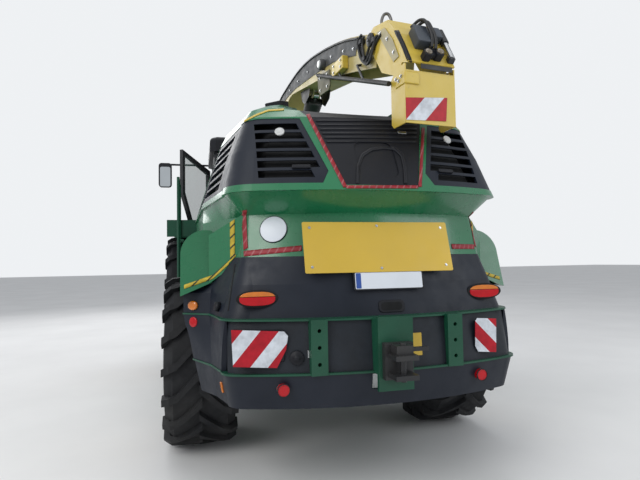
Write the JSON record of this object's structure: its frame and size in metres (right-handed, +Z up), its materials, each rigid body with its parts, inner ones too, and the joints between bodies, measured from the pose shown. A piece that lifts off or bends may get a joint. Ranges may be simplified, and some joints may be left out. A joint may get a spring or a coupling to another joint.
{
  "type": "self-propelled forage harvester",
  "caption": "Self-propelled forage harvester with a turning spout, rear steering, louvred hood, ballast carrier and an opening cab door.",
  "frame": {"origin": "on the ground at the centre of the bounding box", "axes": "+X forward, +Y to the machine's left, +Z up"},
  "size_m": [6.9, 3.74, 3.9251],
  "materials": {
    "green_paint": "gloss paint",
    "steel_green": "chassis paint",
    "yellow_paint": "gloss paint",
    "grey_plastic": "textured moulding",
    "black_steel": "satin black",
    "ballast_black": "painted iron",
    "tyre": "worn rubber",
    "glass": "tinted glass",
    "lamp_red": "moulded lens",
    "seat_fabric": "woven cloth",
    "steel": "ground rod",
    "black_plastic": "moulded"
  },
  "bodies": {
    "chassis": {"main_frame": "steel_green", "engine": "black_steel", "front_axle": "steel_green", "rear_axle": "steel_green", "hood": "green_paint", "grille_left": "grey_plastic", "grille_right": "grey_plastic", "rear_hatch": "grey_plastic", "rear_panel": "green_paint", "lower_panel": "grey_plastic", "ballast_carrier": "steel_green", "ballast_blocks": "ballast_black", "skirt": "grey_plastic", "coupling": "black_steel", "tail_lamps": "lamp_red", "fenders": "green_paint", "side_tanks": "green_paint", "decks": "green_paint", "handrails": "green_paint", "crop_channel": "green_paint", "cutterhead_housing": "green_paint", "feed_housing": "green_paint", "header_frame": "steel_green", "cab_frame": "black_steel", "cab_glass": "glass", "cab_roof": "black_plastic", "seat": "seat_fabric", "console": "black_plastic", "mirrors": "black_plastic"},
    "front_wheel_left": {"tyre_front_left": "tyre", "rim_front_left": "yellow_paint"},
    "front_wheel_right": {"tyre_front_right": "tyre", "rim_front_right": "yellow_paint"},
    "rear_wheel_left": {"tyre_rear_left": "tyre", "rim_rear_left": "yellow_paint"},
    "rear_wheel_right": {"tyre_rear_right": "tyre", "rim_rear_right": "yellow_paint"},
    "knuckle_left": {"knuckle_left": "steel_green"},
    "knuckle_right": {"knuckle_right": "steel_green"},
    "tie_rod": {"tie_rod": "steel_green"},
    "spout_turret": {"spout_base": "black_steel"},
    "spout_arm": {"spout_arm": "yellow_paint"},
    "lift_barrel": {"lift_barrel": "black_steel"},
    "lift_rod": {"lift_rod": "steel"},
    "deflector": {"deflector": "yellow_paint"},
    "flap": {"flap": "yellow_paint"},
    "cab_door": {"cab_door": "black_steel", "door_glass": "glass"},
    "feed_roll_upper": {"feed_roll_upper": "steel"},
    "feed_roll_lower": {"feed_roll_lower": "steel"}
  },
  "joints": [
    {"name": "front_left_roll", "type": "hinge", "parent": "chassis", "child": "front_wheel_left", "pos_m": [1.78, 1.29, 1.04], "axis": [0, 1, 0], "continuous": true},
    {"name": "front_right_roll", "type": "hinge", "parent": "chassis", "child": "front_wheel_right", "pos_m": [1.78, -1.29, 1.04], "axis": [0, 1, 0], "continuous": true},
    {"name": "steer_left", "type": "hinge", "parent": "chassis", "child": "knuckle_left", "pos_m": [-1.37, 0.74, 0.77], "axis": [0, 0, 1], "range_deg": [-40, 40]},
    {"name": "steer_right", "type": "hinge", "parent": "chassis", "child": "knuckle_right", "pos_m": [-1.37, -0.74, 0.77], "axis": [0, 0, 1], "range_deg": [-40, 40]},
    {"name": "tie_rod_pin", "type": "hinge", "parent": "knuckle_left", "child": "tie_rod", "pos_m": [-1.61, 0.74, 0.57], "axis": [0, 0, 1], "range_deg": [-40, 40]},
    {"name": "rear_left_roll", "type": "hinge", "parent": "knuckle_left", "child": "rear_wheel_left", "pos_m": [-1.37, 1.215, 0.77], "axis": [0, 1, 0], "continuous": true},
    {"name": "rear_right_roll", "type": "hinge", "parent": "knuckle_right", "child": "rear_wheel_right", "pos_m": [-1.37, -1.215, 0.77], "axis": [0, 1, 0], "continuous": true},
    {"name": "spout_turn", "type": "hinge", "parent": "chassis", "child": "spout_turret", "pos_m": [0.33, 0, 2.79], "axis": [0, 0, 1], "range_deg": [-112, 98]},
    {"name": "spout_lift", "type": "hinge", "parent": "spout_turret", "child": "spout_arm", "pos_m": [0.33, 0, 3.23], "axis": [-0.1144, 0.9934, 0], "range_deg": [0, 35]},
    {"name": "lift_barrel_swing", "type": "hinge", "parent": "spout_turret", "child": "lift_barrel", "pos_m": [0.00217, -0.03776, 2.975], "axis": [-0.1144, 0.9934, 0], "range_deg": [0, 34.12]},
    {"name": "lift_rod_slide", "type": "slide", "parent": "lift_barrel", "child": "lift_rod", "axis": [-0.744, -0.0857, 0.6626], "range_m": [0, 0.2535]},
    {"name": "deflector_tilt", "type": "hinge", "parent": "spout_arm", "child": "deflector", "pos_m": [-2.54599, -0.33124, 3.44], "axis": [-0.1144, 0.9934, 0], "range_deg": [0, 50]},
    {"name": "flap_tilt", "type": "hinge", "parent": "deflector", "child": "flap", "pos_m": [-3.00793, -0.38444, 3], "axis": [-0.1144, 0.9934, 0], "range_deg": [0, 40.1]},
    {"name": "cab_door_swing", "type": "hinge", "parent": "chassis", "child": "cab_door", "pos_m": [1.28, 1.025, 2.6], "axis": [0, 0, 1], "range_deg": [-150, 0]},
    {"name": "feed_roll_upper_spin", "type": "hinge", "parent": "chassis", "child": "feed_roll_upper", "pos_m": [3.01, 0, 1.08], "axis": [0, 1, 0], "continuous": true},
    {"name": "feed_roll_lower_spin", "type": "hinge", "parent": "chassis", "child": "feed_roll_lower", "pos_m": [3.01, 0, 0.74], "axis": [0, 1, 0], "continuous": true}
  ],
  "couplings": [
    {"joint": "steer_right", "follows": "steer_left", "ratio": 1},
    {"joint": "tie_rod_pin", "follows": "steer_left", "ratio": -1},
    {"joint": "lift_barrel_swing", "follows": "spout_lift", "ratio": 0.96047},
    {"joint": "lift_rod_slide", "follows": "spout_lift", "m_per_rad": 0.40837},
    {"joint": "flap_tilt", "follows": "deflector_tilt", "ratio": 0.8}
  ]
}
